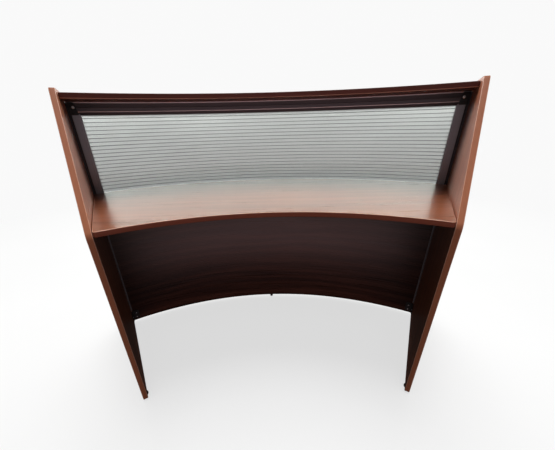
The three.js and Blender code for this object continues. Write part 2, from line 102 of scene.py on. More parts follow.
class Nodes:
    """A short way to write a node tree."""

    def __init__(self, name):
        self.mat = bpy.data.materials.new(name)
        self.mat.use_nodes = True
        self.t = self.mat.node_tree
        self.p = self.t.nodes["Principled BSDF"]

    def link(self, a, b):
        self.t.links.new(a, b)

    def attr(self, name="grain"):
        n = self.t.nodes.new("ShaderNodeAttribute")
        n.attribute_name = name
        return n.outputs["Vector"]

    def coords(self):
        return self.t.nodes.new("ShaderNodeTexCoord").outputs["Object"]

    def scaled(self, vec, scale, shift=(0, 0, 0)):
        n = self.t.nodes.new("ShaderNodeMapping")
        n.inputs["Scale"].default_value = scale
        n.inputs["Location"].default_value = shift
        self.link(vec, n.inputs["Vector"])
        return n.outputs["Vector"]

    def noise(self, vec, scale=1.0, detail=4.0, rough=0.55, distort=0.0):
        n = self.t.nodes.new("ShaderNodeTexNoise")
        n.inputs["Scale"].default_value = scale
        n.inputs["Detail"].default_value = detail
        n.inputs["Roughness"].default_value = rough
        n.inputs["Distortion"].default_value = distort
        self.link(vec, n.inputs["Vector"])
        return n.outputs["Fac"]

    def wave(self, vec, scale, distort, detail=2.0, dscale=1.0, direction="Y"):
        n = self.t.nodes.new("ShaderNodeTexWave")
        n.wave_type = "BANDS"
        n.bands_direction = direction
        n.wave_profile = "SIN"
        n.inputs["Scale"].default_value = scale
        n.inputs["Distortion"].default_value = distort
        n.inputs["Detail"].default_value = detail
        n.inputs["Detail Scale"].default_value = dscale
        self.link(vec, n.inputs["Vector"])
        return n.outputs["Fac"]

    def math(self, op, a, b=None, clamp=False):
        n = self.t.nodes.new("ShaderNodeMath")
        n.operation = op
        n.use_clamp = clamp
        for i, v in enumerate((a, b)):
            if v is None:
                continue
            if isinstance(v, (int, float)):
                n.inputs[i].default_value = v
            else:
                self.link(v, n.inputs[i])
        return n.outputs[0]

    def range(self, v, a, b, c, d):
        n = self.t.nodes.new("ShaderNodeMapRange")
        n.inputs["From Min"].default_value = a
        n.inputs["From Max"].default_value = b
        n.inputs["To Min"].default_value = c
        n.inputs["To Max"].default_value = d
        self.link(v, n.inputs["Value"])
        return n.outputs["Result"]

    def ramp(self, v, stops):
        n = self.t.nodes.new("ShaderNodeValToRGB")
        cr = n.color_ramp
        while len(cr.elements) < len(stops):
            cr.elements.new(0.5)
        for e, (pos, col) in zip(cr.elements, stops):
            e.position = pos
            e.color = (*col, 1)
        self.link(v, n.inputs["Fac"])
        return n.outputs["Color"]

    def mix(self, fac, a, b, kind="MIX"):
        n = self.t.nodes.new("ShaderNodeMix")
        n.data_type = "RGBA"
        n.blend_type = kind
        for sock, v in ((n.inputs[0], fac), (n.inputs[6], a), (n.inputs[7], b)):
            if isinstance(v, (int, float)):
                sock.default_value = v
            elif isinstance(v, tuple):
                sock.default_value = (*v, 1)
            else:
                self.link(v, sock)
        return n.outputs[2]

    def bump(self, height, strength, distance):
        n = self.t.nodes.new("ShaderNodeBump")
        n.inputs["Strength"].default_value = strength
        n.inputs["Distance"].default_value = distance
        self.link(height, n.inputs["Height"])
        self.link(n.outputs["Normal"], self.p.inputs["Normal"])

    def set(self, **values):
        for k, v in values.items():
            sock = self.p.inputs[k.replace("_", " ")]
            if isinstance(v, bpy.types.NodeSocket):
                self.link(v, sock)
            elif isinstance(v, tuple) and len(v) == 3:
                sock.default_value = (*v, 1)
            else:
                sock.default_value = v
        return self


def wood(name, dark, mid, light, rough=(0.26, 0.36), shift=(0, 0, 0), figure=1.0, coat=0.0, coat_rough=0.2, level=0.5, bump=0.06, pores_by=0.42):
    """Wood-grain laminate. The attribute grain holds metres along, across and into the board."""
    m = Nodes(name)
    g = m.scaled(m.attr(), (1, 1, 1), shift)
    broad = m.noise(m.scaled(g, (0.9, 13, 13)), 1, 5, 0.55, 0.5)
    wave = m.wave(m.scaled(g, (0.16, 1.0, 1.0)), 5.5, 7.0, 3.0, 1.6)
    streak = m.noise(m.scaled(g, (3.2, 150, 150)), 1, 5, 0.6, 0.2)
    pores = m.noise(m.scaled(g, (16, 760, 760)), 1, 2, 0.5)
    pore = m.range(pores, 0.60, 0.74, 0, 1)
    patch = m.noise(m.scaled(g, (1.4, 3.0, 3.0)), 1, 3, 0.5)
    tone = m.math("ADD", m.math("MULTIPLY", broad, 0.46), m.math("MULTIPLY", wave, 0.16 * figure))
    tone = m.math("ADD", tone, m.math("MULTIPLY", streak, 0.38))
    tone = m.math("ADD", tone, m.range(patch, 0.25, 0.75, -0.07, 0.07))
    col = m.ramp(tone, [(0.28, dark), (0.50, mid), (0.74, light)])
    col = m.mix(m.math("MULTIPLY", pore, pores_by), col, tuple(0.42 * c for c in dark))
    m.set(Base_Color=col, Metallic=0.0, IOR=1.5, Specular_IOR_Level=level)
    r = m.math("ADD", m.range(streak, 0.25, 0.75, *rough), m.math("MULTIPLY", pore, 0.06))
    m.set(Roughness=r)
    h = m.math("SUBTRACT", m.math("MULTIPLY", streak, 0.35), m.math("MULTIPLY", pore, 0.9))
    m.bump(h, bump, 0.0002)
    if coat:
        m.set(Coat_Weight=coat, Coat_Roughness=coat_rough, Coat_IOR=1.5)
    return m.mat


def metal(name, color, rough, metallic, line=(1, 260, 260), spread=0.10, bump=0.05):
    """Metal with fine lines along the piece (attribute grain)."""
    m = Nodes(name)
    g = m.attr()
    lines = m.noise(m.scaled(g, tuple(3.0 * v for v in line)), 1, 3, 0.6)
    cloud = m.noise(m.scaled(g, (6, 30, 30)), 1, 4, 0.6)
    v = m.math("ADD", m.math("MULTIPLY", lines, 0.6), m.math("MULTIPLY", cloud, 0.4))
    lo, hi = tuple(c * (1 - 2.2 * spread) for c in color), tuple(c * (1 + 2.2 * spread) for c in color)
    m.set(Base_Color=m.ramp(v, [(0.3, lo), (0.7, hi)]), Metallic=metallic)
    m.set(Roughness=m.range(v, 0.3, 0.7, rough - 0.07, rough + 0.07))
    m.bump(lines, bump, 0.00008)
    return m.mat


def painted(name, color, rough, grain_scale=900.0, bump=0.12):
    """Fine orange-peel or moulded surface, by place on the part."""
    m = Nodes(name)
    c = m.coords()
    fine = m.noise(c, grain_scale, 2, 0.5)
    cloud = m.noise(c, 22, 4, 0.6)
    lo, hi = tuple(0.7 * v for v in color), tuple(1.35 * v for v in color)
    m.set(Base_Color=m.ramp(cloud, [(0.3, lo), (0.7, hi)]), Metallic=0.0)
    m.set(Roughness=m.range(cloud, 0.3, 0.7, rough - 0.07, rough + 0.07))
    m.bump(fine, bump, 0.0001)
    return m.mat


def plated(name, color, rough):
    """Plated steel with a faint cloudy finish and fine scratches."""
    m = Nodes(name)
    c = m.coords()
    cloud = m.noise(c, 140, 4, 0.65)
    fine = m.noise(c, 2600, 2, 0.5)
    lo, hi = tuple(0.72 * v for v in color), tuple(min(1, 1.18 * v) for v in color)
    m.set(Base_Color=m.ramp(cloud, [(0.3, lo), (0.7, hi)]), Metallic=1.0)
    m.set(Roughness=m.range(cloud, 0.3, 0.7, rough - 0.08, rough + 0.10))
    m.bump(fine, 0.05, 0.00005)
    return m.mat


MAHOGANY = ((0.172, 0.054, 0.024), (0.212, 0.069, 0.031), (0.250, 0.085, 0.040))
M_TOP = wood("laminate_worktop", (0.110, 0.032, 0.014), (0.206, 0.067, 0.030), (0.295, 0.104, 0.050), rough=(0.27, 0.29), shift=(0.35, 0.12, 0), figure=0.6, coat=0.16, coat_rough=0.22, bump=0.002, pores_by=0.05)
M_PANEL = wood("laminate_panel", (0.236, 0.076, 0.037), (0.314, 0.105, 0.052), (0.390, 0.138, 0.071), rough=(0.30, 0.36), shift=(2.1, 0.7, 0), level=0.6, bump=0.002)
M_CAP = wood("laminate_cap", *MAHOGANY, rough=(0.30, 0.40), shift=(4.4, 1.9, 0), bump=0.02)
M_BAND = wood("edge_band", (0.258, 0.091, 0.046), (0.326, 0.118, 0.061), (0.385, 0.144, 0.076), rough=(0.46, 0.56), shift=(7.3, 3.1, 0), figure=0.4, level=0.08)
# A lighter, glossier copy of the edge band for the rounded arrises: a painted highlight.
M_ARRIS_HIGHLIGHT = wood("edge_band_arris_painted_highlight", (0.46, 0.235, 0.160), (0.60, 0.320, 0.225), (0.70, 0.395, 0.285), rough=(0.24, 0.34), shift=(5.1, 0.4, 0), figure=0.4)
M_EDGE = wood("edge_band_worktop", (0.190, 0.051, 0.029), (0.218, 0.060, 0.034), (0.246, 0.070, 0.041), rough=(0.50, 0.60), shift=(1.9, 6.1, 0), figure=0.4, level=0.12)
M_CAP_BAND = wood("edge_band_cap", (0.082, 0.022, 0.015), (0.112, 0.031, 0.022), (0.145, 0.042, 0.030), rough=(0.42, 0.52), shift=(3.3, 1.1, 0), figure=0.4, level=0.20)
M_DARK = wood("laminate_modesty", (0.026, 0.008, 0.005), (0.054, 0.017, 0.010), (0.094, 0.033, 0.021), rough=(0.24, 0.34), shift=(9.2, 5.3, 0), figure=1.2, level=0.4, bump=0.02)
M_ALU = metal("anodised_frame", (0.285, 0.262, 0.288), 0.36, 0.92)
M_CHANNEL = metal("channel_aluminium", (0.23, 0.205, 0.22), 0.42, 0.25)
# Darker copies of the frame finish: painted shade in the deep recesses, on the beam's lower flange and top edge, and
# on the posts' lip against the end panels.
M_RECESS_SHADE = metal("frame_recess_painted_shade", (0.050, 0.041, 0.045), 0.50, 0.30)
M_GROOVE_SHADE = metal("frame_groove_painted_shade", (0.085, 0.074, 0.081), 0.48, 0.40)
M_BEAM = metal("beam_face", (0.140, 0.127, 0.138), 0.38, 0.85)
# A bright copy of the frame finish for the beads: painted highlight lines.
M_BEAD_HIGHLIGHT = metal("frame_bead_painted_highlight", (0.80, 0.79, 0.80), 0.22, 0.70)
M_BLACK = painted("black_plate", (0.012, 0.011, 0.011), 0.42)
# Plating brightened for the upper corner screws: a painted glint.
M_SCREW_GLINT = plated("screw_dark", (0.85, 0.85, 0.86), 0.34)
M_STEEL = plated("screw_steel", (0.62, 0.62, 0.63), 0.28)
M_ZINC = plated("zinc_steel", (0.46, 0.47, 0.48), 0.40)
M_NYLON = painted("glide_nylon", (0.012, 0.012, 0.012), 0.55, 700, 0.2)


def sheet_material(name, tint, rough, transmission, haze, patch=(2.2, 5.0, 5.0)):
    m = Nodes(name)
    g = m.attr()
    cloud = m.noise(m.scaled(g, patch), 1, 4, 0.55)
    draw = m.noise(m.scaled(g, (0.8, 420, 420)), 1, 3, 0.6)
    v = m.math("ADD", m.math("MULTIPLY", cloud, 0.5), m.math("MULTIPLY", draw, 0.5))
    m.set(Base_Color=m.ramp(v, [(0.3, tuple(c * (1 - haze) for c in tint)), (0.7, tint)]))
    m.set(Roughness=m.range(v, 0.3, 0.7, rough - 0.05, rough + 0.05), IOR=1.45, Metallic=0.0)
    m.set(Transmission_Weight=transmission)
    m.bump(draw, 0.06, 0.0001)
    return m.mat


M_SKIN = sheet_material("screen_clear_skin", (0.95, 0.965, 0.955), 0.06, 1.0, 0.04)
M_FROST = sheet_material("screen_frosted_skin", (0.87, 0.885, 0.875), 0.34, 0.95, 0.14)
# The ribs are dark and opaque, and a dark line lies on the staff skin over each rib: painted shade for the dark that
# refraction gives clear ribs.
M_RIB_SHADE = sheet_material("screen_rib", (0.055, 0.058, 0.058), 0.45, 0.0, 0.25)
M_RIB_LINE_SHADE = sheet_material("screen_rib_line_painted_shade", (0.24, 0.25, 0.25), 0.30, 0.45, 0.85, (5.0, 9.0, 9.0))


def make(name, verts, faces, mats, nodes=(), grain=None, which=None, sharp=28, body="desk", slot=None):
    me = bpy.data.meshes.new(name)
    me.from_pydata([tuple(v) for v in verts], [], faces)
    mats = mats if isinstance(mats, (list, tuple)) else [mats]
    for m in mats:
        me.materials.append(m)
    if which is not None:
        me.polygons.foreach_set("material_index", which)
    bm = bmesh.new()
    bm.from_mesh(me)
    bmesh.ops.recalc_face_normals(bm, faces=bm.faces)
    bm.to_mesh(me)
    bm.free()
    me.polygons.foreach_set("use_smooth", [True] * len(me.polygons))
    me.set_sharp_from_angle(angle=math.radians(sharp))
    at = me.attributes.new("grain", "FLOAT_VECTOR", "POINT")
    if grain is None:
        grain = [tuple(v) for v in verts]
    at.data.foreach_set("vector", [c for v in grain for c in v])
    me.update()
    o = bpy.data.objects.new(name, me)
    scene.collection.objects.link(o)
    if nodes:
        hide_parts(*nodes)
    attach(o, body)
    return o


def rounded(poly, radii, seg=6):
    n, out = len(poly), []
    if isinstance(radii, (int, float)):
        radii = [radii] * n
    for i, p in enumerate(poly):
        r = radii[i]
        p = Vector(p)
        if r <= 0:
            out.append(tuple(p))
            continue
        u = (Vector(poly[i - 1]) - p).normalized()
        v = (Vector(poly[(i + 1) % n]) - p).normalized()
        half = math.acos(max(-1, min(1, u.dot(v)))) / 2
        c = p + (u + v).normalized() * (r / math.sin(half))
        t = r / math.tan(half)
        a, e = p + u * t - c, p + v * t - c
        a0, a1 = math.atan2(a.y, a.x), math.atan2(e.y, e.x)
        while a1 - a0 > math.pi:
            a1 -= 2 * math.pi
        while a1 - a0 < -math.pi:
            a1 += 2 * math.pi
        k = max(1, seg)
        out += [(c.x + r * math.cos(a0 + (a1 - a0) * j / k), c.y + r * math.sin(a0 + (a1 - a0) * j / k)) for j in range(k + 1)]
    return out


def rings(loops, cap=True):
    """Faces between closed loops of equal length, laid one after another."""
    m, n = len(loops[0]), len(loops)
    verts = [v for l in loops for v in l]
    faces = []
    for j in range(n - 1):
        for i in range(m):
            k = (i + 1) % m
            faces.append((j * m + i, j * m + k, (j + 1) * m + k, (j + 1) * m + i))
    if cap:
        faces.append(tuple(range(m))[::-1])
        faces.append(tuple((n - 1) * m + i for i in range(m)))
    return verts, faces


def arc_sweep(section, w, n=N_ARC, straight=False):
    """section [(R, z)] mm round the arc; w is the end's distance from the panel, or a function of (R, z)."""
    loops, grain = [], []
    for j in range(n + 1):
        t = -1 + 2 * j / n
        loop = []
        for R, z in section:
            e = HALF - math.asin((w(R, z) if callable(w) else w) / R)
            v = A(R, t * e, z)
            loop.append(v)
            grain.append((v.x, v.y, v.z) if straight else (R * t * e / 1000, z / 1000, R / 1000))
        loops.append(loop)
    verts, faces = rings(loops)
    return verts, faces, grain


def prism(poly, fn, t0, t1):
    """poly [(u, v)] from t0 to t1 through fn(u, v, t)."""
    return rings([[fn(u, v, t) for u, v in poly] for t in (t0, t1)])


def lathe(profile, n, o, axis):
    a = Vector(axis).normalized()
    u = (Vector((1, 0, 0)) if abs(a.z) > 0.9 else Vector((0, 0, 1))).cross(a).normalized()
    v = a.cross(u)
    verts, rows, faces = [], [], []
    for r, t in profile:
        if r <= 0:
            rows.append([len(verts)])
            verts.append(Vector(o) + a * t / 1000)
        else:
            rows.append(list(range(len(verts), len(verts) + n)))
            for k in range(n):
                g = 2 * math.pi * k / n
                verts.append(Vector(o) + (a * t + (u * math.cos(g) + v * math.sin(g)) * r) / 1000)
    for R0, R1 in zip(rows, rows[1:]):
        for k in range(n):
            l = (k + 1) % n
            if len(R0) == 1:
                faces.append((R0[0], R1[k], R1[l]))
            elif len(R1) == 1:
                faces.append((R0[k], R1[0], R0[l]))
            else:
                faces.append((R0[k], R1[k], R1[l], R0[l]))
    return verts, faces


def carve(o, cutter_parts):
    """Cuts closed (verts, faces) shapes out of o and keeps the result as its mesh. False if nothing was left."""
    cutters = []
    for verts, faces in cutter_parts:
        me = bpy.data.meshes.new("cutter")
        me.from_pydata([tuple(v) for v in verts], [], faces)
        bm = bmesh.new()
        bm.from_mesh(me)
        bmesh.ops.recalc_face_normals(bm, faces=bm.faces)
        bm.to_mesh(me)
        bm.free()
        c = bpy.data.objects.new("cutter", me)
        scene.collection.objects.link(c)
        mod = o.modifiers.new("cut", "BOOLEAN")
        mod.operation = "DIFFERENCE"
        mod.solver = "EXACT"
        mod.object = c
        cutters.append(c)
    bpy.context.view_layer.update()
    new = bpy.data.meshes.new_from_object(o.evaluated_get(bpy.context.evaluated_depsgraph_get()))
    o.modifiers.clear()
    for c in cutters:
        bpy.data.objects.remove(c)
    old = o.data
    if len(new.polygons) < len(old.polygons) / 2:
        bpy.data.meshes.remove(new)
        return False
    o.data = new
    new.name = old.name
    bpy.data.meshes.remove(old)
    new.set_sharp_from_angle(angle=math.radians(28))
    return True


def by_edge(section, tag, n):
    """Material numbers for a sweep of n steps: tag(u, v) of each edge's middle, then the two end caps."""
    m = len(section)
    row = [tag((section[i][0] + section[(i + 1) % m][0]) / 2, (section[i][1] + section[(i + 1) % m][1]) / 2) for i in range(m)]
    return row * n + [0, 0]


# ---------------------------------------------------------------- end panels
outline = [(R_EDGE, Z_PANEL), (R_EDGE, Z_KINK), (R_EDGE + RUN_TOP, Z_TOP), (R_BACK, Z_TOP), (R_BACK, Z_PANEL)]
radii = [6, 40, 20, 8, 6]


def offset_closed(poly, d):
    """Moves each edge of a clockwise polygon in by its own distance."""
    n = len(poly)
    lines = []
    for i in range(n):
        p, q = Vector(poly[i]), Vector(poly[(i + 1) % n])
        e = (q - p).normalized()
        lines.append((p + Vector((e.y, -e.x)) * d[i], e))
    out = []
    for i in range(n):
        (p, a), (q, e) = lines[i - 1], lines[i]
        t = ((q - p).x * e.y - (q - p).y * e.x) / (a.x * e.y - a.y * e.x)
        out.append(tuple(p + a * t))
    return out


core = rounded(offset_closed(outline, [BAND + 0.15] * 4 + [0]), [max(0.5, r - BAND - 0.15) for r in radii], 14)
path = rounded(outline, radii, 14)
band_section = rounded([(-BAND, 0), (0, 0), (0, -BOARD), (-BAND, -BOARD)], [0.15, 1.7, 1.7, 0.15], 5)

# The outer arrises of each band take the lighter copy: a painted highlight.
for name, side in (("left", -1), ("right", 1)):
    verts, faces = prism(core, lambda s, z, w: P(side, s, w, z), -BOARD, 0)
    grain = [(z / 1000, s / 1000, t) for t in (0.0, 0.018) for s, z in core]
    make(f"panel_board_{name}", verts, faces, M_PANEL, [f"end_panel_{name}"], grain)

    loops, grain, run = [], [], 0.0
    for i, p in enumerate(path):
        p = Vector(p)
        d0 = (p - Vector(path[i - 1])).normalized() if i else None
        d1 = (Vector(path[i + 1]) - p).normalized() if i + 1 < len(path) else None
        d = ((d0 or d1) + (d1 or d0)).normalized()
        k = 1 / max(0.5, d.dot(d0 or d1))
        nrm = Vector((-d.y, d.x)) * k
        if i:
            run += (p - Vector(path[i - 1])).length
        loops.append([P(side, p.x + nrm.x * a, q, p.y + nrm.y * a) for a, q in band_section])
        grain += [(run / 1000, q / 1000, a / 1000) for a, q in band_section]
    verts, faces = rings(loops)
    painted_highlight_arris = lambda a, q: 1 if a > -1.75 and (q > -1.75 or q < 1.75 - BOARD) else 0
    make(f"panel_band_{name}", verts, faces, [M_BAND, M_ARRIS_HIGHLIGHT], [f"end_panel_band_{name}"], grain, by_edge(band_section, painted_highlight_arris, len(path) - 1))

# ---------------------------------------------------------------- worktop
Z_UNDER = Z_WORKTOP - BOARD
FILLET = 11.0
SEAM = 2.6
R_REAR = R_MID - 12.6
NOTCH_S, NOTCH_W = R_FACE - 0.3, POST_W + 0.3


def half_path():
    """Right half of the worktop's banded edge, from the middle to the cut-out for a post: (point, outward) in mm."""
    wc = SEAM + FILLET
    th_c = HALF - math.asin(wc / (R_WORKTOP + FILLET))
    out = []
    n = N_ARC // 2
    for j in range(n + 1):
        th = th_c * j / n
        out.append((Vector((R_WORKTOP * math.sin(th), R_WORKTOP * math.cos(th))), Vector((-math.sin(th), -math.cos(th)))))
    c = Vector(((R_WORKTOP + FILLET) * math.sin(th_c), (R_WORKTOP + FILLET) * math.cos(th_c)))
    n0, n1 = Vector((-math.sin(th_c), -math.cos(th_c))), Vector((C30, -S30))
    total = math.acos(n0.dot(n1))
    a0 = math.atan2(n0.y, n0.x)
    for j in range(1, 13):
        g = a0 + total * j / 12
        nrm = Vector((math.cos(g), math.sin(g)))
        out.append((c + nrm * FILLET, nrm))
    end = Vector((NOTCH_S * S30 - SEAM * C30, NOTCH_S * C30 + SEAM * S30))
    start = out[-1][0]
    for j in range(1, 9):
        out.append((start + (end - start) * j / 8, n1))
    return out


hp = half_path()
full = [(Vector((-p.x, p.y)), Vector((-q.x, q.y))) for p, q in hp[:0:-1]] + hp
edge_section = rounded([(-BAND, Z_UNDER), (0, Z_UNDER), (0, Z_WORKTOP), (-BAND, Z_WORKTOP)], [0.15, 1.7, 1.7, 0.15], 5)
loops, grain, run = [], [], 0.0
for i, (p, q) in enumerate(full):
    if i:
        run += (p - full[i - 1][0]).length
    loops.append([Vector((p.x + q.x * a, p.y + q.y * a - Y0, z)) / 1000 for a, z in edge_section])
    grain += [(run / 1000, z / 1000, a / 1000) for a, z in edge_section]
verts, faces = rings(loops)
# The top arris of the worktop edge takes the lighter copy: a painted highlight.
lit = lambda a, z: 1 if z > Z_WORKTOP - 1.75 and a > -1.75 else 0
make("worktop_edge", verts, faces, [M_EDGE, M_ARRIS_HIGHLIGHT], ["worktop_band"], grain, by_edge(edge_section, lit, len(full) - 1))

plan = [(p.x - q.x * (BAND + 0.15), p.y - q.y * (BAND + 0.15)) for p, q in full]
e = HALF - math.asin(NOTCH_W / R_REAR)
rear = [(R_REAR * math.sin(e * t), R_REAR * math.cos(e * t)) for t in [1 - 2 * j / N_ARC for j in range(N_ARC + 1)]]
loc = lambda side, s, w: (side * (s * S30 - w * C30), s * C30 + w * S30)
plan += [loc(1, NOTCH_S, NOTCH_W)] + rear + [loc(-1, NOTCH_S, NOTCH_W)]
verts, faces = rings([[Vector((x, y - Y0, z)) / 1000 for x, y in plan] for z in (Z_UNDER, Z_WORKTOP)])
make("worktop_board", verts, faces, M_TOP, ["worktop"])

# ---------------------------------------------------------------- cap
Z_CAP0 = Z_CAP - CAP_T
cap_w = 1.5


def boxed(r0, r1, z0, z1, r=0.0, seg=3):
    return rounded([(r0, z0), (r1, z0), (r1, z1), (r0, z1)], r, seg)


make("cap_core", *arc_sweep(boxed(R_CAP + BAND + 0.15, R_BACK - BAND - 0.15, Z_CAP0, Z_CAP), cap_w, straight=True)[:2], M_CAP, ["cap_board"])
cap_section = rounded([(R_CAP + BAND, Z_CAP0), (R_CAP + BAND, Z_CAP), (R_CAP, Z_CAP), (R_CAP, Z_CAP0)], [0.15, 0.15, 1.7, 1.7], 5)
v, f, g = arc_sweep(cap_section, cap_w)
# The lower arris of the cap's staff band takes the lighter copy: a painted highlight.
lower = lambda R, z: 1 if z < Z_CAP0 + 1.75 and R < R_CAP + 1.75 else 0
make("cap_edge_staff", v, f, [M_CAP_BAND, M_ARRIS_HIGHLIGHT], ["cap_band_staff"], g, by_edge(cap_section, lower, N_ARC))
v, f, g = arc_sweep(rounded([(R_BACK - BAND, Z_CAP0), (R_BACK, Z_CAP0), (R_BACK, Z_CAP), (R_BACK - BAND, Z_CAP)], [0.15, 1.7, 1.7, 0.15], 5), cap_w)
make("cap_edge_visitor", v, f, M_CAP_BAND, ["cap_band_visitor"], g)

# ---------------------------------------------------------------- modesty panel and rail
v, f, g = arc_sweep(boxed(R_MID - 9, R_MID + 9, 14, 724.7, 1.0), 2.4)
make("modesty_board", v, f, M_DARK, ["modesty_panel"], g)
SLOT = 5.3
rail = [
    (R_MID - 12.3, 700), (R_MID - 9.3, 700), (R_MID - 9.3, 725), (R_MID + 9.3, 725), (R_MID + 9.3, 700), (R_MID + 12.3, 700),
    (R_MID + 12.3, 748), (R_MID + SLOT, 748), (R_MID + SLOT, 729), (R_MID - SLOT, 729), (R_MID - SLOT, 748), (R_MID - 12.3, 748),
]
v, f, g = arc_sweep(rounded(rail, [0.8, 0.8, 0, 0, 0.8, 0.8, 0.8, 0.8, 0, 0, 0.8, 0.8], 3), POST_W + 0.3)
make("rail", v, f, M_ALU, ["joining_rail"], g)
# channel that holds the upright edge of the modesty panel
s0, s1 = R_MID - 9.3, R_MID + 9.3
channel = [(s0 - 1.5, 0.3), (s0 - 1.5, 7.0), (s0, 7.0), (s0, 1.8), (s1, 1.8), (s1, 7.0), (s1 + 1.5, 7.0), (s1 + 1.5, 0.3)]
channel = rounded(channel, [0.6, 0.6, 0.3, 0, 0, 0.3, 0.6, 0.6], 4)
for name, side in (("left", -1), ("right", 1)):
    levels = [85 + (699.7 - 85) * k / 6 for k in range(7)]
    verts, faces = rings([[P(side, s, w, z) for s, w in channel] for z in levels])
    make(f"channel_{name}", verts, faces, M_CHANNEL, [f"modesty_channel_{name}"], [(z / 1000, w / 1000, s / 1000) for z in levels for s, w in channel])

# ---------------------------------------------------------------- aluminium frame


def bead(h, r, depth=0.0, seg=6):
    """A half-round bead standing out of the face at height h."""
    return [(depth - r * math.sin(math.pi * k / seg), h - r * math.cos(math.pi * k / seg)) for k in range(seg + 1)]


# staff face of the beam from the bottom up: (depth behind the front plane, height above the lower face)
face = [(1.0, 0.0), (0.3, 0.3), (0.0, 1.0), (0.0, 10.6), (1.1, 11.1)]
face += [(d + 1.1, h) for d, h in bead(13.2, 1.7)]
face += [(1.3, 15.3)]
for k in range(4):
    h = 15.6 + 2.7 * k
    face += [(0.9, h), (0.35, h + 0.5), (0.35, h + 1.5), (0.9, h + 2.0)]
face += [(0.6, 26.6), (1.6, 27.0), (9.0, 27.0), (9.0, 43.4), (2.6, 43.4), (2.1, 43.7)]
face += [(d + 2.1, h) for d, h in bead(45.6, 1.0)]
face += [(2.1, 46.8), (1.9, 47.2)]
beam = [(R_FACE + d, Z_BEAM + h) for d, h in face]
beam += [(R_OUT - d, Z_BEAM + h) for d, h in face[::-1]]
beam += [(R_MID + SLOT, Z_BEAM), (R_MID + SLOT, Z_BEAM + 13), (R_MID - SLOT, Z_BEAM + 13), (R_MID - SLOT, Z_BEAM)]
v, f, g = arc_sweep(beam, lambda R, z: (Z_BEAM_TOP - z) / BEAM_H * POST_W + 0.25)


# Tags 1 and 3 give painted shade: the lower flange, the top edge under the cap and the deep recess take darker copies
# of the frame finish.
def beam_tag(R, z):
    d, h = min(R - R_FACE, R_OUT - R), z - Z_BEAM
    if 26.9 < h < 43.7 and d > 2.2:
        return 3
    if d < 8.5 and (h < 11.2 or h > 47.2):
        return 1
    if d < 2.0 and 15.0 < h < 27.1:
        return 4
    return 2 if (11.5 < h < 14.9 and d < 1.05) or (44.1 < h < 47.1 and d < 2.05) else 0


# Tag 2, the beads, takes the bright copy: a painted highlight line along each bead.
make("beam", v, f, [M_ALU, M_RECESS_SHADE, M_BEAD_HIGHLIGHT, M_GROOVE_SHADE, M_BEAM], ["top_beam"], g, by_edge(beam, beam_tag, N_ARC))

# the posts carry the same steps, turned upright: w runs in from the end panel
pface = [(2.6, 0.3), (2.0, 0.9), (2.0, 4.7), (2.6, 5.3), (9.0, 5.3), (9.0, 11.0), (0.6, 11.0), (0.0, 11.6)]
pface += [(0.0, 40.2), (0.4, 40.8), (0.9, 41.0)]
post = [(R_FACE + d, w) for d, w in pface]
post += [(R_MID - SLOT - 1.2, POST_W), (R_MID - SLOT - 1.2, POST_W - 14.5), (R_MID + SLOT, POST_W - 14.5), (R_MID + SLOT, POST_W)]
post += [(R_OUT - d, w) for d, w in pface[::-1]]
# Near the end panel the post's recess and lip take darker copies of the frame finish: painted shade.
for name, side in (("left", -1), ("right", 1)):
    top = lambda w: Z_BEAM_TOP - w / POST_W * BEAM_H - 0.25
    levels, grain = [], []
    for k in range(7):
        z = lambda w: Z_POST + (top(w) - Z_POST) * k / 6
        levels.append([P(side, s, w, z(w)) for s, w in post])
        grain += [(z(w) / 1000, w / 1000, s / 1000) for s, w in post]
    verts, faces = rings(levels)
    deep = lambda s, w: 1 if w < 11.2 and min(s - R_FACE, R_OUT - s) > 1.0 else 0
    lip = lambda s, w: 2 if w < 4.9 and min(s - R_FACE, R_OUT - s) < 2.4 else deep(s, w)
    make(f"frame_post_{name}", verts, faces, [M_ALU, M_RECESS_SHADE, M_GROOVE_SHADE], [f"post_{name}"], grain, by_edge(post, lip, 6))

# ---------------------------------------------------------------- twin-wall screen
PITCH_RIB, RIB, SKIN = 15.0, 2.6, 0.6
z_lo, z_hi = 729.3, 1068.0
n_ribs = int(round((z_hi - z_lo - RIB) / PITCH_RIB)) + 1
pitch = (z_hi - z_lo - RIB) / (n_ribs - 1)
zs = []
for k in range(n_ribs):
    zs += [z_lo + k * pitch, z_lo + k * pitch + RIB]
rs = [R_MID - 5, R_MID - 5 + SKIN, R_MID + 5 - SKIN, R_MID + 5]
N_SH = 96
idx = lambda j, zi, ri: (j * len(zs) + zi) * 4 + ri
verts, grain = [], []
for j in range(N_SH + 1):
    t = -1 + 2 * j / N_SH
    for z in zs:
        for R in rs:
            e = HALF - math.asin(27.0 / R)
            verts.append(A(R, t * e, z))
            grain.append((R * t * e / 1000, z / 1000, R / 1000))
faces, which = [], []
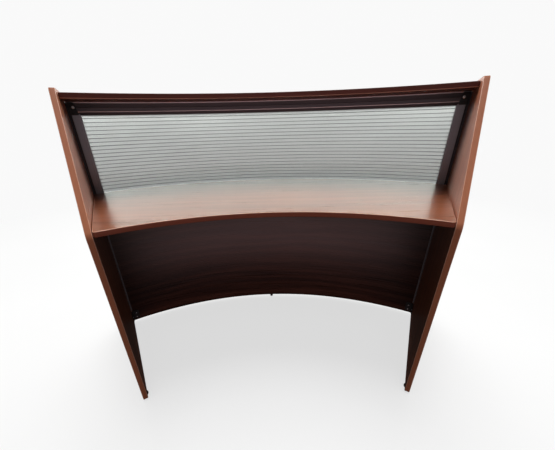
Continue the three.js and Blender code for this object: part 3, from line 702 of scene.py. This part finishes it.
# RIBS (the dark opaque rib finish) and LINE (the dark line on the staff skin over each rib) are painted shade.
CLEAR, FROST, RIBS, LINE = 0, 1, 2, 3
filled = lambda zi, ri: zi % 2 == 0 or ri != 1      # zi even: a rib row; odd: a cell between two ribs
for j in (0, N_SH):
    for zi in range(len(zs) - 1):
        for ri in range(3):
            if filled(zi, ri):
                faces.append((idx(j, zi, ri), idx(j, zi, ri + 1), idx(j, zi + 1, ri + 1), idx(j, zi + 1, ri)))
                which.append(CLEAR)
for j in range(N_SH):
    for zi in range(len(zs) - 1):
        for ri in (0, 3):          # outer skins
            faces.append((idx(j, zi, ri), idx(j, zi + 1, ri), idx(j + 1, zi + 1, ri), idx(j + 1, zi, ri)))
            which.append(FROST if ri else (CLEAR if zi % 2 else LINE))
        if zi % 2:                 # inner sides of the cell
            for ri in (1, 2):
                faces.append((idx(j, zi, ri), idx(j, zi + 1, ri), idx(j + 1, zi + 1, ri), idx(j + 1, zi, ri)))
                which.append(FROST if ri == 2 else CLEAR)
            for zz in (zi, zi + 1):
                faces.append((idx(j, zz, 1), idx(j, zz, 2), idx(j + 1, zz, 2), idx(j + 1, zz, 1)))
                which.append(RIBS)
    for zz in (0, len(zs) - 1):    # lowest and highest edge
        for ri in range(3):
            faces.append((idx(j, zz, ri), idx(j, zz, ri + 1), idx(j + 1, zz, ri + 1), idx(j + 1, zz, ri)))
            which.append(RIBS)
make("screen", verts, faces, [M_SKIN, M_FROST, M_RIB_SHADE, M_RIB_LINE_SHADE], ["screen_sheet"], grain, which)

# ---------------------------------------------------------------- plates, brackets, screws


def plate(outline_fn, fn, t_back, t_front, bevel, mat, name, node, grain=None):
    """A flat plate with a rounded front edge. outline_fn(inset) gives the outline; fn maps (u, v, t)."""
    d = 1 if t_front > t_back else -1
    loops = [[fn(u, v, t_back) for u, v in outline_fn(bevel * 0.4)], [fn(u, v, t_back + d * bevel * 0.4) for u, v in outline_fn(0)]]
    for k in range(5):
        g = math.pi / 2 * k / 4
        loops.append([fn(u, v, t_front - d * bevel * (1 - math.sin(g))) for u, v in outline_fn(bevel * (1 - math.cos(g)))])
    verts, faces = rings(loops)
    return make(name, verts, faces, mat, [node])


def screw(name, node, o, axis, head_r, head_h, shank_r, length, mat):
    """Pan-head screw with a cross recess; head stands back along axis, shank runs on."""
    prof = [(0, -head_h)]
    for k in range(7):
        g = math.pi / 2 * k / 6
        prof.append((head_r * (0.50 + 0.50 * math.sin(g)), -head_h * (0.22 + 0.78 * math.cos(g) ** 0.8) if k < 6 else -head_h * 0.22))
    prof += [(head_r, -0.1), (head_r - 0.1, 0), (shank_r, 0)]
    t = 0.6
    while t < length - 2.2:
        prof += [(shank_r, t), (shank_r * 0.8, t + 0.45)]
        t += 0.9
    prof += [(shank_r * 0.8, length - 2), (0, length)]
    ob = make(name, *lathe(prof, 28, o, axis), mat, [node])
    a = Vector(axis).normalized()
    u = (Vector((1, 0, 0)) if abs(a.z) > 0.9 else Vector((0, 0, 1))).cross(a).normalized()
    v = a.cross(u)
    for turn in (0.5, 0.57, 0.43, 0.64):
        d, e = u * math.cos(turn) + v * math.sin(turn), v * math.cos(turn) - u * math.sin(turn)
        parts = []
        for p, q in ((d, e), (e, d)):
            l, w = head_r * 0.55, head_r * 0.13
            loops = []
            for t, k in ((-head_h - 0.5, 1.0), (-head_h * 0.30, 0.45)):
                loops.append([Vector(o) + (a * t + p * (x * l * k) + q * (y * w)) / 1000 for x, y in ((-1, -1), (1, -1), (1, 1), (-1, 1))])
            parts.append(rings(loops))
        if carve(ob, parts):
            break
    return ob


# The upper corner screws take the brightened plating: a painted glint.
CORNER = {"upper": (23, Z_BEAM + 28.5), "lower": (21, Z_BEAM + 8)}
CLEAT_S, CLEAT_HOLE = R_MID - 9 - 1.2, {"upper": (22, 62), "lower": (22, 37)}
PLATE_S = R_FACE - 1.1
BRACKET_S, BRACKET_L = (1165, 1480), 60


def gusset(i):
    """Outline of the corner plate, moved in by i."""
    quad = [(5, Z_BEAM + 1), (5, Z_BEAM + 45), (28, Z_BEAM + 45), (37, Z_BEAM + 1)]
    return rounded(offset_closed(quad, [i] * 4), max(0.3, 4 - i), 6)


for name, side in (("left", -1), ("right", 1)):
    at = lambda w, z, s: P(side, s, w, z)
    plate(gusset, at, PLATE_S, PLATE_S - 3, 0.9, M_BLACK, f"corner_cover_{name}", f"corner_plate_{name}")
    for where, (w, z) in CORNER.items():
        o = P(side, PLATE_S - 3.2, w, z)
        r, h, l, m = (5.6, 3.0, 20, M_SCREW_GLINT) if where == "upper" else (3.6, 2.0, 18, M_BLACK)
        screw(f"corner_fixing_{where}_{name}", f"corner_screw_{where}_{name}", o, along(side), r, h, 2, l, m)
    # angle cleat between end panel and modesty panel, bent from plate
    S1 = CLEAT_S
    angle = [(S1 - 33, 0.3), (S1, 0.3), (S1, 36), (S1 - 2.5, 36), (S1 - 2.5, 2.8), (S1 - 33, 2.8)]
    verts, faces = prism(rounded(angle, [0.5, 3.2, 0.5, 0.5, 0.8, 0.5], 6), lambda s, w, z: P(side, s, w, z), 27, 80)
    make(f"cleat_{name}", verts, faces, M_BLACK, [f"modesty_cleat_{name}"])
    screw(f"cleat_side_fixing_{name}", f"cleat_screw_{name}", P(side, S1 - 17, 3.0, 49), -inward(side), 4, 2.4, 2, 14.5, M_STEEL)
    for where, (w, z) in CLEAT_HOLE.items():
        screw(f"cleat_fixing_{where}_{name}", f"modesty_screw_{where}_{name}", P(side, S1 - 2.7, w, z), along(side), 4, 2.4, 2, 15, M_STEEL)
    for where, s0 in zip(("front", "rear"), BRACKET_S):
        mid = s0 + BRACKET_L / 2
        angle = [(0.3, Z_UNDER - 40), (2.8, Z_UNDER - 40), (2.8, Z_UNDER - 2.8), (40, Z_UNDER - 2.8), (40, Z_UNDER - 0.3), (0.3, Z_UNDER - 0.3)]
        verts, faces = prism(rounded(angle, [0.5, 0.5, 1.0, 0.5, 0.5, 3.4], 6), lambda w, z, s: P(side, s, w, z), s0, s0 + BRACKET_L)
        make(f"angle_{where}_{name}", verts, faces, M_BLACK, [f"worktop_bracket_{where}_{name}"])
        screw(f"worktop_fixing_{where}_{name}", f"worktop_screw_{where}_{name}", P(side, mid, 24, Z_UNDER - 3.0), UP, 4.5, 2.8, 2, 15, M_STEEL)
        screw(f"panel_fixing_{where}_{name}", f"panel_screw_{where}_{name}", P(side, mid, 3.0, Z_UNDER - 22), -inward(side), 4.5, 2.8, 2, 14.5, M_STEEL)

# ---------------------------------------------------------------- glides
GLIDE_S = (1088, 1610)


def glide(name, node, o, r, h, top):
    prof = [(0, 0.4), (r - 3.5, 0.4), (r - 2.6, 0.0), (r - 1.2, 0.0)]
    prof += [(r - 1.2 + 1.2 * math.sin(math.pi / 2 * k / 5), 1.2 - 1.2 * math.cos(math.pi / 2 * k / 5)) for k in range(1, 6)]
    prof += [(r, h * 0.5)]
    prof += [(r - 1.6 + 1.6 * math.cos(math.pi / 2 * k / 5), h - 2.0 + 1.3 * math.sin(math.pi / 2 * k / 5)) for k in range(6)]
    prof += [(5.2, h - 0.5), (4.6, h - 0.25), (2.9, h - 0.25)]
    t = h
    while t < top - 1.2:
        prof += [(2.5, t), (2.95, t + 0.5)]
        t += 1.0
    prof += [(2.5, top - 0.8), (2.0, top), (0, top)]
    return make(name, *lathe(prof, 40, o, UP), M_NYLON, [node], body=node)


for name, side in (("left", -1), ("right", 1)):
    for where, s in zip(("front", "rear"), GLIDE_S):
        glide(f"foot_{where}_{name}", f"glide_{where}_{name}", P(side, s, -BOARD / 2, 0), 13, Z_PANEL - 0.3, Z_PANEL + 18)
glide("foot_centre", "glide_centre", A(R_MID, 0, 0), 8, 13.7, 32)

# nodes that stay as they are
for n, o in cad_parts.items():
    if n.startswith("glide_sleeve"):
        o.data.materials.clear()
        o.data.materials.append(M_ZINC)
    elif n.startswith("cap_screw"):
        o.data.materials.clear()
        o.data.materials.append(M_STEEL)

# ---------------------------------------------------------------- floor, light
fm = Nodes("floor")
fc = fm.coords()
cloud = fm.noise(fc, 1.3, 3, 0.5)
far = fm.t.nodes.new("ShaderNodeTexGradient")
far.gradient_type = "SPHERICAL"
fm.link(fm.scaled(fc, (0.2, 0.2, 0.2)), far.inputs["Vector"])
near = fm.range(far.outputs["Fac"], 0.25, 0.75, 0, 1)
fm.set(Base_Color=fm.mix(near, (0, 0, 0), fm.ramp(cloud, [(0.3, (0.17, 0.17, 0.17)), (0.7, (0.18, 0.18, 0.18))])), Roughness=0.9)
fm.set(Specular_IOR_Level=0.0, Emission_Color=fm.mix(near, (0.95, 0.95, 0.95), (0.68, 0.68, 0.68)), Emission_Strength=1.0)
me = bpy.data.meshes.new("floor")
F = 40
me.from_pydata([(-F, -F, 0), (F, -F, 0), (F, F, 0), (-F, F, 0)], [], [(0, 1, 2, 3)])
me.materials.append(fm.mat)
floor = bpy.data.objects.new("floor", me)
scene.collection.objects.link(floor)
# the pale floor is a stage only: the desk is lit by the lights and the world below
floor.visible_diffuse = False
floor.visible_glossy = False
floor.visible_transmission = False


def area(name, loc_, target, size, radiance, color=(1, 1, 1)):
    l = bpy.data.lights.new(name, "AREA")
    l.shape = "RECTANGLE"
    l.size, l.size_y = size
    l.energy = radiance * math.pi * size[0] * size[1]
    l.color = color
    o = bpy.data.objects.new(name, l)
    o.location = loc_
    o.rotation_euler = (Vector(target) - Vector(loc_)).to_track_quat("-Z", "Y").to_euler()
    o.visible_camera = False
    scene.collection.objects.link(o)
    return o


behind = area("behind", (0.0, 4.5, 2.75), (0, 0.3, 1.9), (9.0, 2.0), 5.2, (0.97, 1.0, 0.955))


# it is flagged off the end panels' edge bands
flagged = bpy.data.collections.new("flagged")
for name in ("panel_band_left", "panel_band_right"):
    flagged.objects.link(bpy.data.objects[name])
for entry in flagged.collection_objects:
    entry.light_linking.link_state = "EXCLUDE"
behind.light_linking.receiver_collection = flagged
# a soft fill from above on the inner face of each end panel
filled = bpy.data.collections.new("filled")
for name in ("panel_board_left", "panel_board_right"):
    filled.objects.link(bpy.data.objects[name])
for name, side in (("left", -1), ("right", 1)):
    area(f"fill_{name}", (-side * 0.75, 0.5, 2.5), (side * 0.72, 0.0, 0.95), (0.8, 0.8), 15.5).light_linking.receiver_collection = filled


def sun(name, toward, strength, angle):
    """A broad far light, coming from the direction given."""
    l = bpy.data.lights.new(name, "SUN")
    l.energy = strength
    l.angle = math.radians(angle)
    o = bpy.data.objects.new(name, l)
    o.rotation_euler = Vector(toward).to_track_quat("Z", "Y").to_euler()
    o.location = Vector(toward) * 6
    scene.collection.objects.link(o)


def elevated(deg, back):
    return (0, back * math.cos(math.radians(deg)), math.sin(math.radians(deg)))


sun("overhead_rear", elevated(72, 1), 1.6, 22)
sun("overhead", elevated(90, 1), 2.1, 22)

front_light = bpy.data.lights.new("front", "SPOT")
front_light.energy = 96
front_light.spot_size = math.radians(33.4)
front_light.spot_blend = 0.58
front_light.shadow_soft_size = 0.6
front_spot = bpy.data.objects.new("front", front_light)
front_spot.location = (0, -2.94, 5.49)
front_spot.rotation_euler = (Vector((0, -0.36, 1.8)) - front_spot.location).to_track_quat("-Z", "Y").to_euler()
scene.collection.objects.link(front_spot)

world = bpy.data.worlds.new("world")
scene.world = world
world.use_nodes = True
wt = world.node_tree
tc = wt.nodes.new("ShaderNodeTexCoord")
sep = wt.nodes.new("ShaderNodeSeparateXYZ")
wt.links.new(tc.outputs["Generated"], sep.inputs[0])


def graded(source, low, high, stops):
    mr = wt.nodes.new("ShaderNodeMapRange")
    mr.inputs["From Min"].default_value = low
    mr.inputs["From Max"].default_value = high
    wt.links.new(source, mr.inputs["Value"])
    cr = wt.nodes.new("ShaderNodeValToRGB")
    for k, (pos, v) in enumerate(stops):
        el = cr.color_ramp.elements[k] if k < 2 else cr.color_ramp.elements.new(1)
        el.position = (pos - low) / (high - low)
        el.color = (v, v, v, 1) if isinstance(v, (int, float)) else (*v, 1)
    wt.links.new(mr.outputs["Result"], cr.inputs["Fac"])
    return cr.outputs["Color"]


def times(a, b, op="MULTIPLY"):
    n = wt.nodes.new("ShaderNodeMix")
    n.data_type = "RGBA"
    n.blend_type = op
    n.inputs[0].default_value = 1
    for sock, v in ((n.inputs[6], a), (n.inputs[7], b)):
        wt.links.new(v, sock)
    return n.outputs[2]


# the room: a dim front that is brighter high up, a soft low gleam straight ahead of the desk, a bright back
front = times(graded(sep.outputs["Y"], -1, 1, ((-1.0, 1.0), (-0.5, 0.9), (0.1, 0.5), (1.0, 0.3))),
              graded(sep.outputs["Z"], -1, 1, ((-1.0, 0.006), (-0.32, 0.03), (-0.18, 0.30), (0.05, 0.30), (0.25, 0.16), (0.55, 0.26), (1.0, 0.26))))
gleam = times(times(graded(sep.outputs["Y"], -1, 1, ((-1.0, (1.0, 0.64, 0.66)), (-0.6, (1.0, 0.64, 0.66)), (-0.3, 0.0), (1.0, 0.0))),
                    graded(sep.outputs["X"], -1, 1, ((-1.0, 0.0), (-0.62, 0.0), (-0.20, 1.0), (0.20, 1.0), (0.62, 0.0), (1.0, 0.0)))),
              graded(sep.outputs["Z"], -1, 1, ((-1.0, 0.0), (-0.55, 0.0), (-0.37, 1.70), (-0.18, 0.60), (0.0, 0.0), (1.0, 0.0))))
back = times(graded(sep.outputs["Y"], -1, 1, ((-1.0, 0.0), (0.15, 0.0), (0.65, 1.0), (1.0, 1.0))),
             graded(sep.outputs["Z"], -1, 1, ((-1.0, 0.002), (-0.50, 0.006), (-0.32, 0.06), (-0.17, 0.48), (-0.05, 0.56), (0.05, 0.58), (1.0, 0.40))))
front = times(front, gleam, "ADD")
bg = wt.nodes["Background"]
wt.links.new(times(front, back, "ADD"), bg.inputs["Color"])
bg2 = wt.nodes.new("ShaderNodeBackground")
bg2.inputs["Color"].default_value = (0.95, 0.95, 0.95, 1)
lp = wt.nodes.new("ShaderNodeLightPath")
mx = wt.nodes.new("ShaderNodeMixShader")
wt.links.new(lp.outputs["Is Camera Ray"], mx.inputs[0])
wt.links.new(bg.outputs[0], mx.inputs[1])
wt.links.new(bg2.outputs[0], mx.inputs[2])
wt.links.new(mx.outputs[0], wt.nodes["World Output"].inputs["Surface"])
scene.view_settings.view_transform = "Standard"
